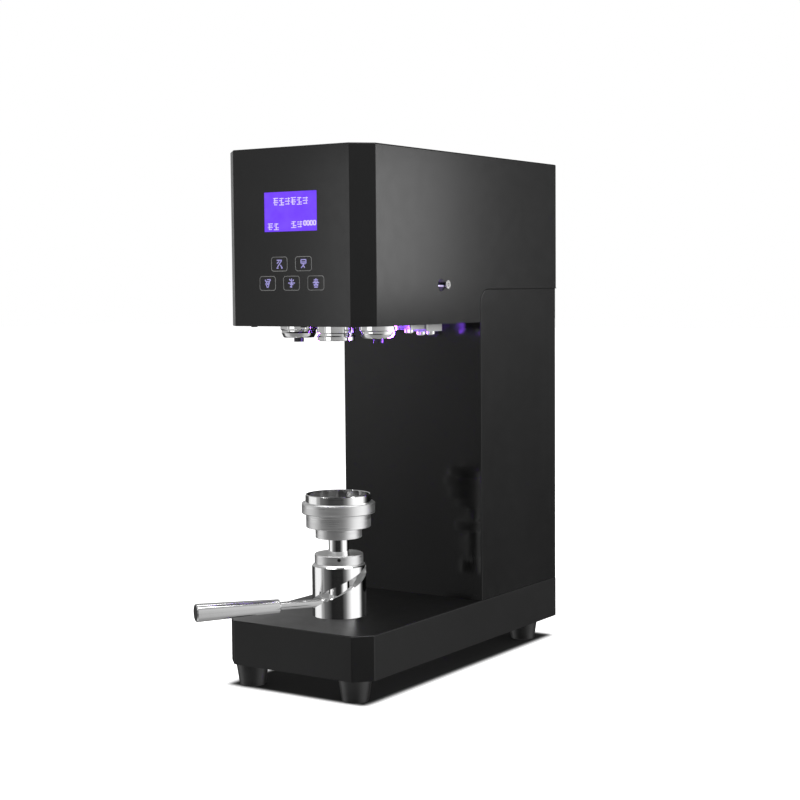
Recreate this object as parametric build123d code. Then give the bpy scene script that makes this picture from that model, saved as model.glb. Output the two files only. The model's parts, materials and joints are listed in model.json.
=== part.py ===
"""Desktop can seamer: base, column and head shells, hand lifter with a turning tray, and the
seaming head with its chuck and two roller arms.  Millimetres, +Z up, +Y towards the rear.

The sizes below are given in a working frame: X = 0 on the centre plane, Y = 0 on the head's
front face, Z = 0 on the floor.  keep() moves each piece into the part's own frame, whose origin
lies on the floor under the middle of the machine's overall depth.
"""
import os
from math import cos, radians, sin

from build123d import *

# ---------------------------------------------------------------- driving dimensions
ORIGIN_Y = 183.6          # middle of the overall depth, lever included

HALF_W = 100.0            # head, column and base are all this wide each side
SHEET = 1.5               # folded sheet of every shell
GAP = 0.3                 # seam between neighbouring panels
EDGE = 1.6                # rounded outer edges of the base and the head
COLUMN_EDGE = 0.9

FOOT_H = 25.6
BASE_TOP = 76.0
BASE_FRONT = -8.4
BASE_REAR = 427.0
BASE_CHAMFER = 18.0

HEAD_BOTTOM = 410.7
HEAD_TOP = 607.6
HEAD_REAR = 428.7
HEAD_CHAMFER = 20.4
SEAM_Z = 449.9            # head side panel stops here above the column
SEAM_R = 18.0

COLUMN_FRONT = 238.5
COLUMN_REAR = 425.0

AXIS_Y = 84.0             # the can's axis: barrel, tray and chuck
DECK_BOTTOM = 440.0
DECK_TOP = 446.0

# hand lifter
LIFT = 37.5
SWING = 150.0
LEVER_AZ = -125.0
LEVER_Z = 91.2
LEVER_R = 170.5           # tip of the grip from the can's axis
GRIP_START = 72.5
GRIP_R = (8.0, 10.5)      # the grip widens from the rod to its tip
ROD_RADIUS = 4.75
BARREL_R = 31.2
BARREL_BORE = 22.0
BARREL_TOP = 135.1
CAP_TOP = 147.6
SHAFT_R = 11.8
STUB_R = 10.0
BOLT_R = 3.0              # four bolts hold the barrel from below
BOLT_CIRCLE = 26.0
BOLT_SLACK = 0.4
BOLT_TOP = 84.0
MOUNT_PLATE = 10.0
RUNNING = 0.05            # radial clearance of every running fit

# tray stack, each value a height above the floor
HUB_LOW = 166.1
HUB_LOW_TOP = 178.1
HUB_BOTTOM = 178.5
RING_BOTTOM = 194.6
RING_TOP = 207.1
TRAY_TOP = 216.6
TRAY_FLOOR = 203.0
TRAY_BORE = 35.8
HOUSING_R = 26.8
HUB_R = 37.4
RING_R = 42.3
RIM_R = 37.9
MAT_T = 2.0

# seaming head
CHUCK_R = 22.5
CHUCK_BOTTOM = 392.7
ROLLER_X = 56.0
ROLLER_Y = 87.0
ROLLER_R = 21.5
ROLLER_BOTTOM = 395.7
ROLLER_TOP = 413.7
PIVOT_X = 62.0
PIVOT_Y = 141.0
DRIVE_PIN_X = 31.0        # half way from the rocker's axis to the pivots, so the ratio is one
DRIVE_PIN_R = 4.0
ARM_BOTTOM = 416.0
ARM_TOP = 424.0
PIVOT_R = 7.0
STOP_REAR = 194.5         # rear end of the arm stop blocks
MOTOR_Y = 320.0
MOTOR_R = 55.0
MOTOR_SHAFT_R = 8.0
SPINDLE_R = 10.0
SPINDLE_PULLEY_R = 47.75
MOTOR_PULLEY_R = SPINDLE_PULLEY_R / 2
BELT_Z = 501.0
BELT_W = 12.0
BELT_T = 4.0

# front panel
PANEL_T = 2.5
LCD_HALF_W = 36.1
LCD_Z = (515.1, 558.6)
KEY_W = 22.0
KEY_H = 15.6
KEY_PLACES = [(-33.2, 458.35), (0.0, 458.35), (33.2, 458.35), (-16.6, 479.5), (16.6, 479.5)]
KEYS_RIGHT = 0.7          # the group of keys stands this far right of the middle

FOOT_PLACES = [(-72.0, 12.5), (72.0, 12.5), (-72.0, 388.0), (72.0, 388.0)]
FOOT_R = 18.5
ACCESS_HOLE = (151.3, 455.2)      # Y and Z in the right-hand side of the head
ACCESS_R = 7.2
SOCKET_SCREW = (162.8, 455.7)
UNDER_OPENING = (-90.0, 90.0, 44.0, 224.0)     # X and Y limits of the hole under the head

# rear panel, with its own X and Z places
REAR_FACE = COLUMN_REAR + SHEET
INLET = (-38.0, 128.0)
SWITCH = (38.0, 128.0)
SWITCH_AXIS = 0.6                 # the rocker's axis lies this far inside the rear face
COVER_SCREW_X = 80.0
PANEL_SCREW_ROWS = (98.0, 250.0, 402.0)
COVER_SCREW_ROWS = (470.0, 590.0)
SCREW_R = 2.0
SCREW_HOLE_R = 2.1

PIECES = {}
COVER_SCREWS = []         # the small pan-head screws of every cover


# ---------------------------------------------------------------- small helpers
def keep(name, shape):
    """Moves a finished piece into the part's frame and files it under its node name."""
    PIECES[name] = Pos(0, -ORIGIN_Y, 0) * shape


def block(x0, x1, y0, y1, z0, z1):
    middle = Pos((x0 + x1) / 2, (y0 + y1) / 2, (z0 + z1) / 2)
    return middle * Box(x1 - x0, y1 - y0, z1 - z0)


def rod(radius, z0, z1, x=0.0, y=AXIS_Y):
    """An upright cylinder between two heights."""
    return Pos(x, y, (z0 + z1) / 2) * Cylinder(radius, z1 - z0)


def ring(outer, inner, z0, z1, x=0.0, y=AXIS_Y):
    return rod(outer, z0, z1, x, y) - rod(inner, z0 - 1, z1 + 1, x, y)


def turned(outline, x=0.0, y=AXIS_Y):
    """A lathe-turned piece: its half outline as (radius, height) points about an upright axis."""
    section = Plane.XZ * make_face(Polyline(*outline, close=True))
    return Pos(x, y, 0) * revolve(section, Axis.Z)


def rod_y(radius, y0, y1, x, z):
    """A cylinder that lies front to back."""
    return Pos(x, (y0 + y1) / 2, z) * Rot(90, 0, 0) * Cylinder(radius, y1 - y0)


def rod_x(radius, x0, x1, y, z):
    """A cylinder that lies from side to side."""
    return Pos((x0 + x1) / 2, y, z) * Rot(0, 90, 0) * Cylinder(radius, x1 - x0)


def rounded_plate(x0, x1, y0, y1, z0, z1, radius):
    face = Pos((x0 + x1) / 2, (y0 + y1) / 2, z0) * RectangleRounded(x1 - x0, y1 - y0, radius)
    return extrude(face, z1 - z0)


def upright_plate(x, z, width, height, y0, y1, radius):
    """A rounded rectangle that faces the front, between two depths."""
    face = Plane.XZ * Pos(x, z) * RectangleRounded(width, height, radius)
    return Pos(0, y1, 0) * extrude(face, y1 - y0)


def radial(shape, azimuth):
    """Turns a shape made along +X from the can's axis to the given azimuth."""
    return Pos(0, AXIS_Y, 0) * Rot(0, 0, azimuth) * shape


def footprint(front, rear, chamfer, inset=0.0):
    """The plan of a shell: a rectangle whose two front corners are cut at 45 degrees."""
    side = HALF_W - inset
    cut = chamfer - inset * 0.4142
    front = front + inset
    points = [(-side, front + cut), (-side + cut, front), (side - cut, front), (side, front + cut),
              (side, rear - inset), (-side, rear - inset)]
    return make_face(Polyline(*points, close=True))


def group(shapes):
    """Separate identical solids that share one node."""
    return Compound(children=list(shapes))


# ---------------------------------------------------------------- base
def make_base():
    plan = footprint(BASE_FRONT, BASE_REAR, BASE_CHAMFER)
    outer = Pos(0, 0, FOOT_H) * extrude(plan, BASE_TOP - FOOT_H)
    top_edges = outer.faces().sort_by(Axis.Z)[-1].edges()
    outer = fillet(outer.edges().filter_by(Axis.Z) + top_edges, EDGE)
    hollow = footprint(BASE_FRONT, BASE_REAR, BASE_CHAMFER, SHEET)
    shell = outer - Pos(0, 0, FOOT_H - 1) * extrude(hollow, BASE_TOP - SHEET - FOOT_H + 1)
    for x, y in bolt_places():
        shell -= rod(BOLT_R + BOLT_SLACK, BASE_TOP - 2 * SHEET, BASE_TOP + 1, x, y)
    keep("base_shell", shell)

    floor_plan = footprint(BASE_FRONT, BASE_REAR, BASE_CHAMFER, SHEET + GAP)
    plate = Pos(0, 0, FOOT_H) * extrude(floor_plan, SHEET)
    screw_r = 3.0
    for x, y in FOOT_PLACES:
        plate -= rod(screw_r, FOOT_H - 1, FOOT_H + SHEET + 1, x, y)
    keep("base_plate", plate)

    feet = []
    screws = []
    for x, y in FOOT_PLACES:
        foot = turned([(0, 0), (14, 0), (15, 1), (FOOT_R, FOOT_H - 2), (FOOT_R, FOOT_H), (0, FOOT_H)], x, y)
        foot -= rod(6.0, -1, 12, x, y) + rod(screw_r, 11, FOOT_H + 1, x, y)
        feet.append(foot)
        head = rod(5.2, 8.6, 12, x, y)
        screws.append(head + rod(screw_r - BOLT_SLACK, 11, FOOT_H + SHEET + 6, x, y))
    keep("rubber_feet", group(feet))
    keep("foot_screws", group(screws))


# ---------------------------------------------------------------- lifter
def bolt_places():
    turns = [radians(a) for a in (45, 135, 225, 315)]
    return [(BOLT_CIRCLE * cos(a), AXIS_Y + BOLT_CIRCLE * sin(a)) for a in turns]


def helix_slot():
    """The lever's way round the barrel: a rising helical cut with a round end at each stop."""
    half = ROD_RADIUS + 0.75
    cutter_in = BARREL_BORE - 4
    cutter_out = BARREL_R + 4
    steps = 50
    pieces = []
    for i in (0, steps):
        angle = LEVER_AZ + SWING * i / steps
        height = LEVER_Z + LIFT * i / steps
        pieces.append(radial(rod_x(half, cutter_in, cutter_out, 0, height), angle))
    pitch = LIFT * 360 / SWING
    middle_r = (cutter_in + cutter_out) / 2
    path = Helix(pitch, LIFT, middle_r)
    section = Plane(origin=path @ 0, x_dir=(1, 0, 0), z_dir=path % 0)
    face = section * Rectangle(cutter_out - cutter_in, 2 * half)
    band = sweep(face, path, is_frenet=True)
    pieces.append(Pos(0, AXIS_Y, LEVER_Z) * Rot(0, 0, LEVER_AZ) * band)
    return pieces


def make_lifter():
    plate_half = 60.0
    plate_top = BASE_TOP - SHEET
    plate_bottom = plate_top - MOUNT_PLATE
    y0, y1 = AXIS_Y - plate_half, AXIS_Y + plate_half
    plate = rounded_plate(-plate_half, plate_half, y0, y1, plate_bottom, plate_top, 6)
    bolts = []
    for x, y in bolt_places():
        plate -= rod(BOLT_R + BOLT_SLACK, plate_bottom - 1, BASE_TOP, x, y)
        head = rod(5.0, plate_bottom - 6, plate_bottom, x, y)
        bolts.append(head + rod(BOLT_R, plate_bottom - 1, BOLT_TOP, x, y))
    keep("barrel_mount_plate", plate)
    keep("barrel_bolts", group(bolts))

    barrel = turned([(BARREL_BORE, BASE_TOP), (BARREL_R, BASE_TOP), (BARREL_R, BARREL_TOP - 1.2),
                     (BARREL_R - 1.2, BARREL_TOP), (BARREL_BORE, BARREL_TOP)])
    for x, y in bolt_places():
        barrel -= rod(BOLT_R + RUNNING, BASE_TOP - 1, BOLT_TOP + 0.5, x, y)
    for cutter in helix_slot():
        barrel -= cutter
    keep("lift_barrel", barrel)

    cap_r = BARREL_R - 3.0
    skirt_r = BARREL_R - 1.7
    cap_bore = SHAFT_R + RUNNING
    lid_z = BARREL_TOP + 2.6
    cap = turned([(cap_bore, lid_z), (BARREL_BORE, lid_z), (BARREL_BORE, BARREL_TOP), (skirt_r, BARREL_TOP),
                  (cap_r, BARREL_TOP + 1.5), (cap_r, CAP_TOP - 0.8), (cap_r - 0.8, CAP_TOP),
                  (cap_bore, CAP_TOP)])
    grub_z = 143.3
    grub_az = -54.0
    cap -= radial(rod_x(2.1, 16, cap_r + 1, 0, grub_z), grub_az)
    keep("barrel_cap", cap)
    keep("cap_grub_screw", radial(rod_x(2.05, 16.2, cap_r - 3.5, 0, grub_z), grub_az))

    piston_bottom = LEVER_Z - 12
    piston_top = LEVER_Z + 6.4
    piston_r = BARREL_BORE - RUNNING
    shaft = turned([(0, piston_bottom), (piston_r - 1, piston_bottom), (piston_r, piston_bottom + 1),
                    (piston_r, piston_top - 1), (piston_r - 1, piston_top), (SHAFT_R, piston_top),
                    (SHAFT_R, HUB_LOW), (STUB_R, HUB_LOW), (STUB_R, HUB_BOTTOM + 14), (0, HUB_BOTTOM + 14)])
    thread_start = 9.0
    shaft -= radial(rod_x(ROD_RADIUS, thread_start, BARREL_BORE + 1, 0, LEVER_Z), LEVER_AZ)
    keep("lift_shaft", shaft)

    lever = rod_x(ROD_RADIUS, thread_start, GRIP_START, 0, LEVER_Z)
    keep("lever_rod", radial(lever, LEVER_AZ))
    thin, thick = GRIP_R
    grip_profile = [(GRIP_START, 0), (GRIP_START, thin - 0.8), (GRIP_START + 0.8, thin),
                    (LEVER_R - 1.2, thick), (LEVER_R, thick - 1.2), (LEVER_R, 0)]
    grip = revolve(Plane.XZ * make_face(Polyline(*grip_profile, close=True)), Axis.X)
    keep("lever_grip", radial(Pos(0, 0, LEVER_Z) * grip, LEVER_AZ))

    keep("bearing_housing", turned([(STUB_R, HUB_LOW), (HOUSING_R - 0.5, HUB_LOW), (HOUSING_R, HUB_LOW + 0.5),
                                    (HOUSING_R, HUB_LOW_TOP), (STUB_R, HUB_LOW_TOP)]))


def make_tray():
    race = 21.0
    bearing_bottom = HUB_BOTTOM + 0.2
    bearing_top = HUB_BOTTOM + 14.0
    keep("tray_bearing", ring(race, STUB_R + RUNNING, bearing_bottom, bearing_top))
    bore = race + RUNNING
    roof = bearing_top + GAP
    keep("tray_hub", turned([(bore, HUB_BOTTOM), (HUB_R - 0.6, HUB_BOTTOM), (HUB_R, HUB_BOTTOM + 0.6),
                             (HUB_R, RING_BOTTOM), (0, RING_BOTTOM), (0, roof), (bore, roof)]))
    bed = TRAY_FLOOR - MAT_T
    keep("can_tray", turned([(0, RING_BOTTOM), (RING_R - 0.8, RING_BOTTOM), (RING_R, RING_BOTTOM + 0.8),
                             (RING_R, RING_TOP - 0.8), (RING_R - 0.8, RING_TOP), (RIM_R, RING_TOP),
                             (RIM_R, TRAY_TOP - 0.6), (RIM_R - 0.6, TRAY_TOP), (TRAY_BORE + 0.6, TRAY_TOP),
                             (TRAY_BORE, TRAY_TOP - 0.6), (TRAY_BORE, bed), (0, bed)]))
    keep("tray_mat", rod(TRAY_BORE - 0.1, bed, TRAY_FLOOR))


# ---------------------------------------------------------------- column
def side_outline(front, rear, bottom, top, radius):
    """One side of the column: a tall plate with its upper front corner rounded."""
    face = Polyline((front, bottom), (rear, bottom), (rear, top), (front + radius, top))
    corner = RadiusArc((front + radius, top), (front, top - radius), -radius)
    back = Line((front, top - radius), (front, bottom))
    return Plane.YZ * make_face([face, corner, back])


def column_side(x, outer_face):
    """One side sheet with a rounded front edge; outer_face is 0 for the left one, -1 for the right."""
    side = extrude(side_outline(COLUMN_FRONT, COLUMN_REAR, BASE_TOP, SEAM_Z, SEAM_R), SHEET)
    outline = side.faces().sort_by(Axis.X)[outer_face].edges()
    front = [edge for edge in outline if edge.center().Y < COLUMN_FRONT + SEAM_R / 2]
    return Pos(x, 0, 0) * fillet(front, COLUMN_EDGE)


def panel_screw_places():
    return [(x, z) for x in (-COVER_SCREW_X, COVER_SCREW_X) for z in PANEL_SCREW_ROWS]


def pan_head_screw(x, z, face):
    """A small screw whose pan head sits on the given rear face."""
    return rod_y(SCREW_R, face - 6, face, x, z) + rod_y(3.8, face, face + 1.6, x, z)


def make_column():
    left = column_side(-HALF_W, 0)
    right = column_side(HALF_W - SHEET, -1)
    wall_top = 440.0
    rear = block(-HALF_W + SHEET, HALF_W - SHEET, COLUMN_REAR - SHEET, COLUMN_REAR, BASE_TOP, wall_top)
    rear -= block(-75, 75, COLUMN_REAR - SHEET - 1, COLUMN_REAR + 1, 110, 390)
    for x, z in panel_screw_places():
        rear -= rod_y(SCREW_HOLE_R, COLUMN_REAR - SHEET - 1, COLUMN_REAR + 1, x, z)
    keep("column_shell", left + right + rear)

    inner = HALF_W - SHEET
    front = block(-inner, inner, COLUMN_FRONT, COLUMN_FRONT + 3, BASE_TOP, DECK_BOTTOM - 2)
    keep("column_front_panel", front)

    posts = []
    for x in (-80, 80):
        for y in (264, 402):
            tube = block(x - 12.5, x + 12.5, y - 12.5, y + 12.5, BASE_TOP, DECK_BOTTOM - 8)
            tube -= block(x - 10.5, x + 10.5, y - 10.5, y + 10.5, BASE_TOP - 1, DECK_BOTTOM)
            posts.append(tube)
            posts.append(block(x - 14, x + 14, y - 14, y + 14, BASE_TOP, BASE_TOP + 5))
    crown = block(-94, 94, 250, 418, DECK_BOTTOM - 8, DECK_BOTTOM)
    crown -= rod(MOTOR_R + 1, DECK_BOTTOM - 9, DECK_TOP, 0, MOTOR_Y)
    keep("column_frame", crown.fuse(*posts))

    make_rear_panel()


def make_rear_panel():
    """The screwed-on rear plate with its vent slots, mains inlet and power switch."""
    y0, y1 = COLUMN_REAR, REAR_FACE
    panel = upright_plate(0, 250, 172, 320, y0, y1, 4)
    vent_rows = 14
    lowest_vent = 240.0
    vent_pitch = 9.0
    for row in range(vent_rows):
        for x in (-36, 36):
            panel -= upright_plate(x, lowest_vent + vent_pitch * row, 56, 4.4, y0 - 1, y1 + 1, 2.1)
    for x, z in panel_screw_places():
        panel -= rod_y(SCREW_HOLE_R, y0 - 1, y1 + 1, x, z)
        COVER_SCREWS.append(pan_head_screw(x, z, y1))
    panel -= upright_plate(*INLET, 27.4, 20.4, y0 - 1, y1 + 1, 1)
    panel -= upright_plate(*SWITCH, 19.4, 13.4, y0 - 1, y1 + 1, 1)
    keep("rear_panel", panel)

    make_inlet(y1)
    make_switch(y0, y1)


def make_inlet(y1):
    """A three-pin mains inlet: a flange outside the panel, a body behind it, blades in a deep cavity."""
    x, z = INLET
    cavity = 16.0
    body = upright_plate(x, z, 27, 20, y1 - 24, y1, 2) + upright_plate(x, z, 36, 27, y1, y1 + 2.5, 4)
    body -= upright_plate(x, z, 23, 16, y1 - cavity, y1 + 4, 3)
    for dx, dz in ((-7, -1.6), (7, -1.6), (0, 2.4)):
        body += block(x + dx - 1, x + dx + 1, y1 - cavity - 0.5, y1 - 1, z + dz - 2, z + dz + 2)
    keep("power_inlet", body)


def make_switch(y0, y1):
    """A rocker switch: a frame snapped into the panel and a rocker that tips about a cross axis."""
    x, z = SWITCH
    frame = upright_plate(x, z, 19, 13, y0 - 12, y1, 1) + upright_plate(x, z, 23, 16, y1, y1 + 1.8, 1.5)
    frame -= upright_plate(x, z, 16, 10.4, y0 - 8, y1 + 3, 0.8)
    axis_y = y1 - SWITCH_AXIS
    pin_r = 1.2
    pin_half = 5.7
    frame -= rod(pin_r + RUNNING, z - pin_half - GAP, z + pin_half + GAP, x, axis_y)
    keep("switch_frame", frame)
    half_w = 7.0
    half_h = 4.8
    outline = Polyline((-half_w, 3.6), (0, 1.2), (half_w, 1.6), (half_w, -2.4), (-half_w, -2.4), close=True)
    rocker = Pos(x, y1, z - half_h) * extrude(make_face(outline), 2 * half_h)
    keep("power_switch", rocker + rod(pin_r, z - pin_half, z + pin_half, x, axis_y))


# ---------------------------------------------------------------- head
def make_head():
    height = HEAD_TOP - HEAD_BOTTOM
    outer = Pos(0, 0, HEAD_BOTTOM) * extrude(footprint(0, HEAD_REAR, HEAD_CHAMFER), height)
    top_edges = outer.faces().sort_by(Axis.Z)[-1].edges()
    outer = fillet(outer.edges().filter_by(Axis.Z) + top_edges, EDGE)
    hollow = footprint(0, HEAD_REAR + 2 * SHEET, HEAD_CHAMFER, SHEET)
    shell = outer - Pos(0, 0, HEAD_BOTTOM - 1) * extrude(hollow, height - SHEET + 1)
    flat = HALF_W - HEAD_CHAMFER
    shell -= block(-flat, flat, -1, 2 * SHEET, HEAD_BOTTOM - 1, HEAD_TOP - SHEET)
    window = side_outline(COLUMN_FRONT - GAP, HEAD_REAR + 1, HEAD_BOTTOM - 1, SEAM_Z + GAP, SEAM_R)
    shell -= Pos(-HALF_W - 1, 0, 0) * extrude(window, 2 * HALF_W + 2)
    hole_y, hole_z = ACCESS_HOLE
    shell -= rod_x(ACCESS_R, HALF_W - 4, HALF_W + 1, hole_y, hole_z)
    screw_y, screw_z = SOCKET_SCREW
    shell -= rod_x(2.6, HALF_W - 4, HALF_W + 1, screw_y, screw_z)
    keep("head_shell", shell)
    screw = rod_x(2.5, HALF_W - 12, HALF_W, screw_y, screw_z)
    screw += rod_x(4.8, HALF_W, HALF_W + 2.2, screw_y, screw_z)
    keep("side_socket_screw", screw - rod_x(1.9, HALF_W + 0.4, HALF_W + 3, screw_y, screw_z))

    side = HALF_W - SHEET
    rear_inside = HEAD_REAR - 1.6
    rear = block(-side, side, rear_inside, HEAD_REAR, SEAM_Z + GAP, HEAD_TOP - SHEET)
    rear += block(-side + GAP, side - GAP, rear_inside, HEAD_REAR, HEAD_BOTTOM, SEAM_Z + 1)
    for x in (-COVER_SCREW_X, COVER_SCREW_X):
        for z in COVER_SCREW_ROWS:
            rear -= rod_y(SCREW_HOLE_R, HEAD_REAR - 4, HEAD_REAR + 1, x, z)
            COVER_SCREWS.append(pan_head_screw(x, z, HEAD_REAR))
    keep("head_rear_cover", rear)

    make_front_panel(flat)
    make_underside()
    make_deck()
    make_electronics()


def make_front_panel(flat):
    panel = block(-flat + 0.1, flat - 0.1, 0, PANEL_T, HEAD_BOTTOM, HEAD_TOP - SHEET - 0.1)
    lcd_mid = (LCD_Z[0] + LCD_Z[1]) / 2
    lcd_h = LCD_Z[1] - LCD_Z[0]
    panel -= upright_plate(0, lcd_mid, 2 * LCD_HALF_W, lcd_h, -1, PANEL_T + 1, 0.6)
    keys = []
    for place, z in KEY_PLACES:
        x = place + KEYS_RIGHT
        panel -= upright_plate(x, z, KEY_W, KEY_H, -1, PANEL_T + 1, 2.5)
        keys.append(upright_plate(x, z, KEY_W - 0.2, KEY_H - 0.2, 0.1, PANEL_T, 2.4))
    keep("head_front_panel", panel)
    keep("touch_keys", group(keys))
    keep("lcd_window", upright_plate(0, lcd_mid, 2 * LCD_HALF_W - 0.2, lcd_h - 0.2, 0.2, 1.6, 0.5))
    keep("lcd_module", upright_plate(0, lcd_mid, 93, 70, PANEL_T, PANEL_T + 9, 1)
         + upright_plate(0, lcd_mid, 2 * LCD_HALF_W - 1, lcd_h - 1, 1.6, PANEL_T + 1, 0.5))
    keep("touch_board", upright_plate(0, 468.9, 100, 46, PANEL_T, PANEL_T + 1.6, 1))


def make_underside():
    """The sheet that closes the head from below, open where the rollers and the chuck hang through."""
    plan = footprint(PANEL_T - SHEET, HEAD_REAR, HEAD_CHAMFER, SHEET + 0.1)
    inner = Pos(0, 0, HEAD_BOTTOM) * extrude(plan, SHEET)
    over_column = block(-HALF_W, HALF_W, COLUMN_FRONT - GAP, HEAD_REAR + 1, HEAD_BOTTOM - 1, HEAD_BOTTOM + 4)
    sheet = inner - over_column
    x0, x1, y0, y1 = UNDER_OPENING
    sheet -= rounded_plate(x0, x1, y0, y1, HEAD_BOTTOM - 1, HEAD_BOTTOM + 4, 14)
    for x, y in ((-70, 22), (0, 22), (70, 22), (-60, 231), (60, 231)):
        sheet -= rod(SCREW_HOLE_R, HEAD_BOTTOM - 1, HEAD_BOTTOM + 4, x, y)
        head = rod(3.6, HEAD_BOTTOM - 1.5, HEAD_BOTTOM, x, y)
        COVER_SCREWS.append(head + rod(SCREW_R, HEAD_BOTTOM, HEAD_BOTTOM + 8, x, y))
    keep("underside_cover", sheet)

    led = rounded_plate(x0 - 5, x1 + 5, y0 - 9, y1 + 5, HEAD_BOTTOM + SHEET, HEAD_BOTTOM + SHEET + 5, 12)
    led -= rounded_plate(x0 - 1, x1 + 1, y0 - 1, y1 + 1, HEAD_BOTTOM, HEAD_BOTTOM + 12, 14)
    keep("led_strip", led)


def make_deck():
    """The thick plate inside the head that carries the spindle, both motors and the arm pivots."""
    deck = block(-96, 96, 24, 420, DECK_BOTTOM, DECK_TOP)
    deck -= rod(24.3, DECK_BOTTOM - 1, DECK_TOP + 1)
    deck -= rod(6.0, DECK_BOTTOM - 1, DECK_TOP + 1, 0, PIVOT_Y)
    deck -= rod(14.0, DECK_BOTTOM - 1, DECK_TOP + 1, 0, MOTOR_Y)
    keep("deck_plate", deck)

    bearing_r = 21.0
    housing = turned([(bearing_r, 426), (24, 426), (24, DECK_TOP), (34, DECK_TOP), (34, DECK_TOP + 6),
                      (24, DECK_TOP + 6), (24, 472), (bearing_r, 472)])
    keep("spindle_housing", housing)
    bearing_places = (428.0, 459.0)
    keep("spindle_bearings", group([ring(bearing_r, SPINDLE_R + RUNNING, z, z + 12) for z in bearing_places]))

    gear_box = ring(18.5, 4.1, DECK_TOP, DECK_TOP + 22, 0, PIVOT_Y)
    keep("arm_gear_motor", gear_box + rod(17.5, DECK_TOP + 21, DECK_TOP + 50, 0, PIVOT_Y))

    motor_bottom = 300.0
    ribs = 24
    main_motor = rod(MOTOR_R, motor_bottom, DECK_BOTTOM, 0, MOTOR_Y)
    main_motor += rod(20, motor_bottom - 8, motor_bottom + 1, 0, MOTOR_Y)
    main_motor += rod(13.8, DECK_BOTTOM - 1, DECK_TOP + 2, 0, MOTOR_Y)
    for i in range(ribs):
        groove = block(MOTOR_R - 3, MOTOR_R + 1, -5, 5, 318, 422) - block(0, MOTOR_R + 2, -1.2, 1.2, 310, 430)
        main_motor -= Pos(0, MOTOR_Y, 0) * Rot(0, 0, i * 360 / ribs) * groove
    main_motor -= rod(MOTOR_SHAFT_R + RUNNING, DECK_BOTTOM - 20, DECK_TOP + 4, 0, MOTOR_Y)
    keep("main_motor", main_motor)


def make_electronics():
    board = upright_plate(0, 515, 150, 120, 16, 17.6, 2)
    for x in (-45, -15, 20, 50):
        board += block(x - 8, x + 8, 17, 32, 470, 492)
    board += upright_plate(0, 545, 60, 30, 17, 22, 1)
    keep("control_board", board)
    supply = rounded_plate(54, 94, 210, 320, DECK_TOP, DECK_TOP + 42, 3)
    for i in range(9):
        supply -= block(50, 98, 222 + 10 * i, 226 + 10 * i, DECK_TOP + 38, DECK_TOP + 50)
    keep("power_supply", supply)
    can = rod(20, DECK_TOP, DECK_TOP + 72, -74, 235) + rod(4, DECK_TOP + 71, DECK_TOP + 80, -74, 235)
    keep("motor_capacitor", can)


# ---------------------------------------------------------------- seaming parts
def pulley(radius, z0, x, y, bore, hub_r, hub_z0):
    """A flat-belt pulley with two flanges and a hub below."""
    top = z0 + BELT_W + 4
    flange = radius + 3
    return turned([(bore, hub_z0), (hub_r, hub_z0), (hub_r, z0 - 2), (flange, z0 - 2), (flange, z0 - 0.5),
                   (radius, z0 - 0.5), (radius, z0 + BELT_W + 0.5), (flange, z0 + BELT_W + 0.5),
                   (flange, top - 2), (hub_r, top - 2), (hub_r, top), (bore, top)], x, y)


def belt_loop(offset):
    """The belt's outline in plan: two arcs round the pulleys and the two straight runs between."""
    big = SPINDLE_PULLEY_R + offset
    small = MOTOR_PULLEY_R + offset
    lean = (big - small) / (MOTOR_Y - AXIS_Y)
    rise = (1 - lean ** 2) ** 0.5
    right_big = (big * rise, AXIS_Y + big * lean)
    right_small = (small * rise, MOTOR_Y + small * lean)
    left_big = (-right_big[0], right_big[1])
    left_small = (-right_small[0], right_small[1])
    front = ThreePointArc(left_big, (0, AXIS_Y - big), right_big)
    back = ThreePointArc(right_small, (0, MOTOR_Y + small), left_small)
    return make_face([front, Line(right_big, right_small), back, Line(left_small, left_big)])


def make_drive():
    shaft = turned([(0, 400), (SPINDLE_R, 400), (SPINDLE_R, 519), (0, 519)])
    screw_r = 4.0
    shaft -= rod(screw_r, 399, 416)
    keep("spindle_shaft", shaft)
    keep("spindle_pulley", pulley(SPINDLE_PULLEY_R, BELT_Z, 0, AXIS_Y, SPINDLE_R, 16, 474))
    z = CHUCK_BOTTOM
    bore = screw_r + 0.2
    waist = CHUCK_R - 1.6
    neck = CHUCK_R - 0.3
    chuck = turned([(bore, z + 3), (7.5, z + 3), (7.5, z), (CHUCK_R - 0.6, z), (CHUCK_R, z + 0.6),
                    (CHUCK_R, z + 4.6), (waist, z + 6), (waist, z + 8), (neck, z + 9.2), (neck, z + 19),
                    (16, z + 22), (16, 424), (SPINDLE_R, 424), (SPINDLE_R, 400), (bore, 400)])
    keep("seaming_chuck", chuck)
    screw = rod(7.3, CHUCK_BOTTOM + 0.4, CHUCK_BOTTOM + 3) + rod(screw_r, CHUCK_BOTTOM + 2, 415)
    keep("chuck_screw", screw - rod(3.4, CHUCK_BOTTOM - 1, CHUCK_BOTTOM + 2))

    hub = pulley(MOTOR_PULLEY_R, BELT_Z, 0, MOTOR_Y, 0, 13, 470)
    keep("motor_pulley", hub + rod(MOTOR_SHAFT_R, DECK_BOTTOM - 18, 471, 0, MOTOR_Y))
    slack = 0.3
    loop = Pos(0, 0, BELT_Z) * extrude(belt_loop(slack + BELT_T), BELT_W)
    keep("drive_belt", loop - Pos(0, 0, BELT_Z - 1) * extrude(belt_loop(slack), BELT_W + 2))


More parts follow.
